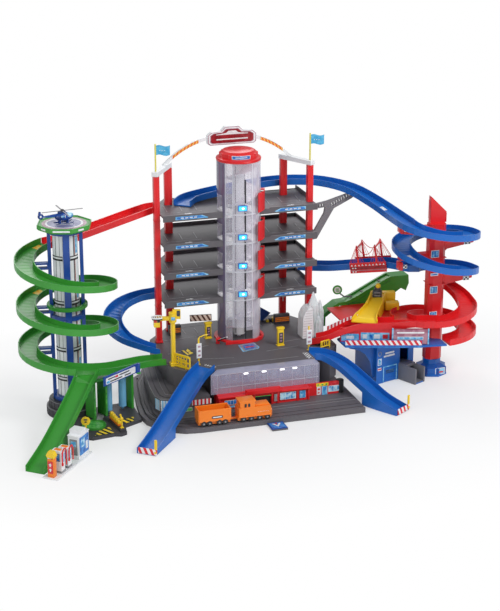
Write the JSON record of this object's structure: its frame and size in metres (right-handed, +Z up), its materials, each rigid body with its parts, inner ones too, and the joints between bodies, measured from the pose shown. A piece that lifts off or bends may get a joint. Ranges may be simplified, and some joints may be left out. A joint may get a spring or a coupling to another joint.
{
  "type": "toy parking garage",
  "caption": "Toy parking garage with a lift tube and screw, parking floors, spiral towers, ramps, bridges, car wash, fuel station and a train on a grooved base.",
  "frame": {"origin": "on the floor under the axis of the lift tube", "axes": "+X to the right-hand tower, -Y to the train and the front ramps, +Z up"},
  "size_m": [1.5274, 0.8398, 0.7902],
  "materials": {
    "blue_spiral": "gloss",
    "bridge_span": "gloss",
    "bridge_track": "gloss",
    "city_deck": "satin",
    "column_back_left": "gloss",
    "column_back_right": "gloss",
    "column_front_left": "gloss",
    "column_front_right": "gloss",
    "concourse_canopy": "gloss",
    "crane_arm": "gloss",
    "crane_post": "gloss",
    "crystal_rock": "gloss",
    "diverter": "gloss",
    "front_ramp_left": "gloss",
    "front_ramp_right": "gloss",
    "fuel_station": "satin",
    "garage_door": "gloss",
    "green_exit": "gloss",
    "green_hill": "gloss",
    "green_spiral": "gloss",
    "helicopter": "gloss",
    "helipad": "gloss",
    "left_base": "satin",
    "left_frame": "gloss",
    "left_shaft": "gloss",
    "lift_cap": "gloss",
    "lift_foot": "gloss",
    "lift_gate_1": "gloss",
    "lift_gate_2": "gloss",
    "lift_gate_3": "gloss",
    "lift_gate_4": "gloss",
    "lift_motor": "satin",
    "lift_screw": "gloss",
    "lift_tube": "gloss",
    "loop_track": "gloss",
    "motor_pinion": "gloss",
    "parking_floor_1": "satin",
    "parking_floor_2": "satin",
    "parking_floor_3": "satin",
    "parking_floor_4": "satin",
    "ramp_gate_left": "gloss",
    "ramp_gate_right": "gloss",
    "red_chute": "gloss",
    "red_spiral": "gloss",
    "rescue_building": "gloss",
    "right_foot": "gloss",
    "right_mast": "gloss",
    "roof_arch": "gloss",
    "rotor": "gloss",
    "sky_track": "gloss",
    "sky_truss": "satin",
    "station_front": "gloss",
    "track_base": "satin",
    "train_engine": "gloss",
    "train_wagon": "gloss",
    "turntable": "gloss",
    "wash_building": "gloss",
    "wash_roller_1": "satin",
    "wash_roller_2": "satin",
    "yellow_chute": "gloss"
  },
  "bodies": {
    "garage": {"blue_spiral": "blue_spiral", "bridge_span": "bridge_span", "bridge_track": "bridge_track", "city_deck": "city_deck", "column_back_left": "column_back_left", "column_back_right": "column_back_right", "column_front_left": "column_front_left", "column_front_right": "column_front_right", "concourse_canopy": "concourse_canopy", "crane_post": "crane_post", "crystal_rock": "crystal_rock", "front_ramp_left": "front_ramp_left", "front_ramp_right": "front_ramp_right", "fuel_station": "fuel_station", "green_exit": "green_exit", "green_hill": "green_hill", "green_spiral": "green_spiral", "helicopter": "helicopter", "helipad": "helipad", "left_base": "left_base", "left_frame": "left_frame", "left_shaft": "left_shaft", "lift_cap": "lift_cap", "lift_foot": "lift_foot", "lift_motor": "lift_motor", "lift_tube": "lift_tube", "loop_track": "loop_track", "parking_floor_1": "parking_floor_1", "parking_floor_2": "parking_floor_2", "parking_floor_3": "parking_floor_3", "parking_floor_4": "parking_floor_4", "red_chute": "red_chute", "red_spiral": "red_spiral", "rescue_building": "rescue_building", "right_foot": "right_foot", "right_mast": "right_mast", "roof_arch": "roof_arch", "sky_track": "sky_track", "sky_truss": "sky_truss", "station_front": "station_front", "track_base": "track_base", "wash_building": "wash_building", "yellow_chute": "yellow_chute"},
    "lift_screw_body": {"lift_screw": "lift_screw"},
    "motor_pinion_body": {"motor_pinion": "motor_pinion"},
    "lift_gate_1_body": {"lift_gate_1": "lift_gate_1"},
    "lift_gate_2_body": {"lift_gate_2": "lift_gate_2"},
    "lift_gate_3_body": {"lift_gate_3": "lift_gate_3"},
    "lift_gate_4_body": {"lift_gate_4": "lift_gate_4"},
    "ramp_gate_left_body": {"ramp_gate_left": "ramp_gate_left"},
    "ramp_gate_right_body": {"ramp_gate_right": "ramp_gate_right"},
    "crane_arm_body": {"crane_arm": "crane_arm"},
    "diverter_body": {"diverter": "diverter"},
    "wash_roller_1_body": {"wash_roller_1": "wash_roller_1"},
    "wash_roller_2_body": {"wash_roller_2": "wash_roller_2"},
    "turntable_body": {"turntable": "turntable"},
    "rotor_body": {"rotor": "rotor"},
    "garage_door_body": {"garage_door": "garage_door"},
    "train_engine_body": {"train_engine": "train_engine"},
    "train_wagon_body": {"train_wagon": "train_wagon"}
  },
  "joints": [
    {"name": "lift_screw_spin", "type": "hinge", "parent": "garage", "child": "lift_screw_body", "pos_m": [0, 0, 0.088], "axis": [0, 0, 1], "continuous": true},
    {"name": "motor_pinion_spin", "type": "hinge", "parent": "garage", "child": "motor_pinion_body", "pos_m": [0.036, 0, 0.088], "axis": [0, 0, 1], "continuous": true},
    {"name": "lift_gate_1_turn", "type": "hinge", "parent": "garage", "child": "lift_gate_1_body", "pos_m": [0, 0, 0.2653], "axis": [0, 0, 1], "range_deg": [0, 35]},
    {"name": "lift_gate_2_turn", "type": "hinge", "parent": "garage", "child": "lift_gate_2_body", "pos_m": [0, 0, 0.3586], "axis": [0, 0, 1], "range_deg": [0, 35]},
    {"name": "lift_gate_3_turn", "type": "hinge", "parent": "garage", "child": "lift_gate_3_body", "pos_m": [0, 0, 0.4519], "axis": [0, 0, 1], "range_deg": [0, 35]},
    {"name": "lift_gate_4_turn", "type": "hinge", "parent": "garage", "child": "lift_gate_4_body", "pos_m": [0, 0, 0.5452], "axis": [0, 0, 1], "range_deg": [0, 35]},
    {"name": "ramp_gate_left_turn", "type": "hinge", "parent": "garage", "child": "ramp_gate_left_body", "pos_m": [-0.42558, -0.57602, 0.0115], "axis": [0.6202, 0.7844, 0], "range_deg": [0, 80]},
    {"name": "ramp_gate_right_turn", "type": "hinge", "parent": "garage", "child": "ramp_gate_right_body", "pos_m": [0.39214, -0.47917, 0.0115], "axis": [-0.5446, 0.8387, 0], "range_deg": [0, 80]},
    {"name": "crane_arm_turn", "type": "hinge", "parent": "garage", "child": "crane_arm_body", "pos_m": [-0.271, -0.1975, 0.2623], "axis": [0, 0, 1], "range_deg": [-60, 60]},
    {"name": "diverter_turn", "type": "hinge", "parent": "garage", "child": "diverter_body", "pos_m": [-0.4035, -0.29, 0.15], "axis": [0, 0, 1], "range_deg": [0, 25]},
    {"name": "wash_roller_1_spin", "type": "hinge", "parent": "garage", "child": "wash_roller_1_body", "pos_m": [-0.48645, -0.23949, 0.0103], "axis": [0, 0, 1], "continuous": true},
    {"name": "wash_roller_2_spin", "type": "hinge", "parent": "garage", "child": "wash_roller_2_body", "pos_m": [-0.43884, -0.22121, 0.0103], "axis": [0, 0, 1], "continuous": true},
    {"name": "turntable_spin", "type": "hinge", "parent": "garage", "child": "turntable_body", "pos_m": [-0.551, -0.33, 0.0073], "axis": [0, 0, 1], "continuous": true},
    {"name": "rotor_spin", "type": "hinge", "parent": "garage", "child": "rotor_body", "pos_m": [-0.592, -0.175, 0.6316], "axis": [0, 0, 1], "continuous": true},
    {"name": "garage_door_turn", "type": "hinge", "parent": "garage", "child": "garage_door_body", "pos_m": [0.42919, -0.23656, 0.04815], "axis": [-0.9575, -0.2884, 0], "range_deg": [0, 85]},
    {"name": "train_engine_slide", "type": "slide", "parent": "garage", "child": "train_engine_body", "axis": [1, 0, 0], "range_m": [0, 0.24]},
    {"name": "train_wagon_slide", "type": "slide", "parent": "garage", "child": "train_wagon_body", "axis": [1, 0, 0], "range_m": [0, 0.24]}
  ],
  "couplings": [
    {"joint": "motor_pinion_spin", "follows": "lift_screw_spin", "ratio": -3},
    {"joint": "train_wagon_slide", "follows": "train_engine_slide", "ratio": 1}
  ]
}
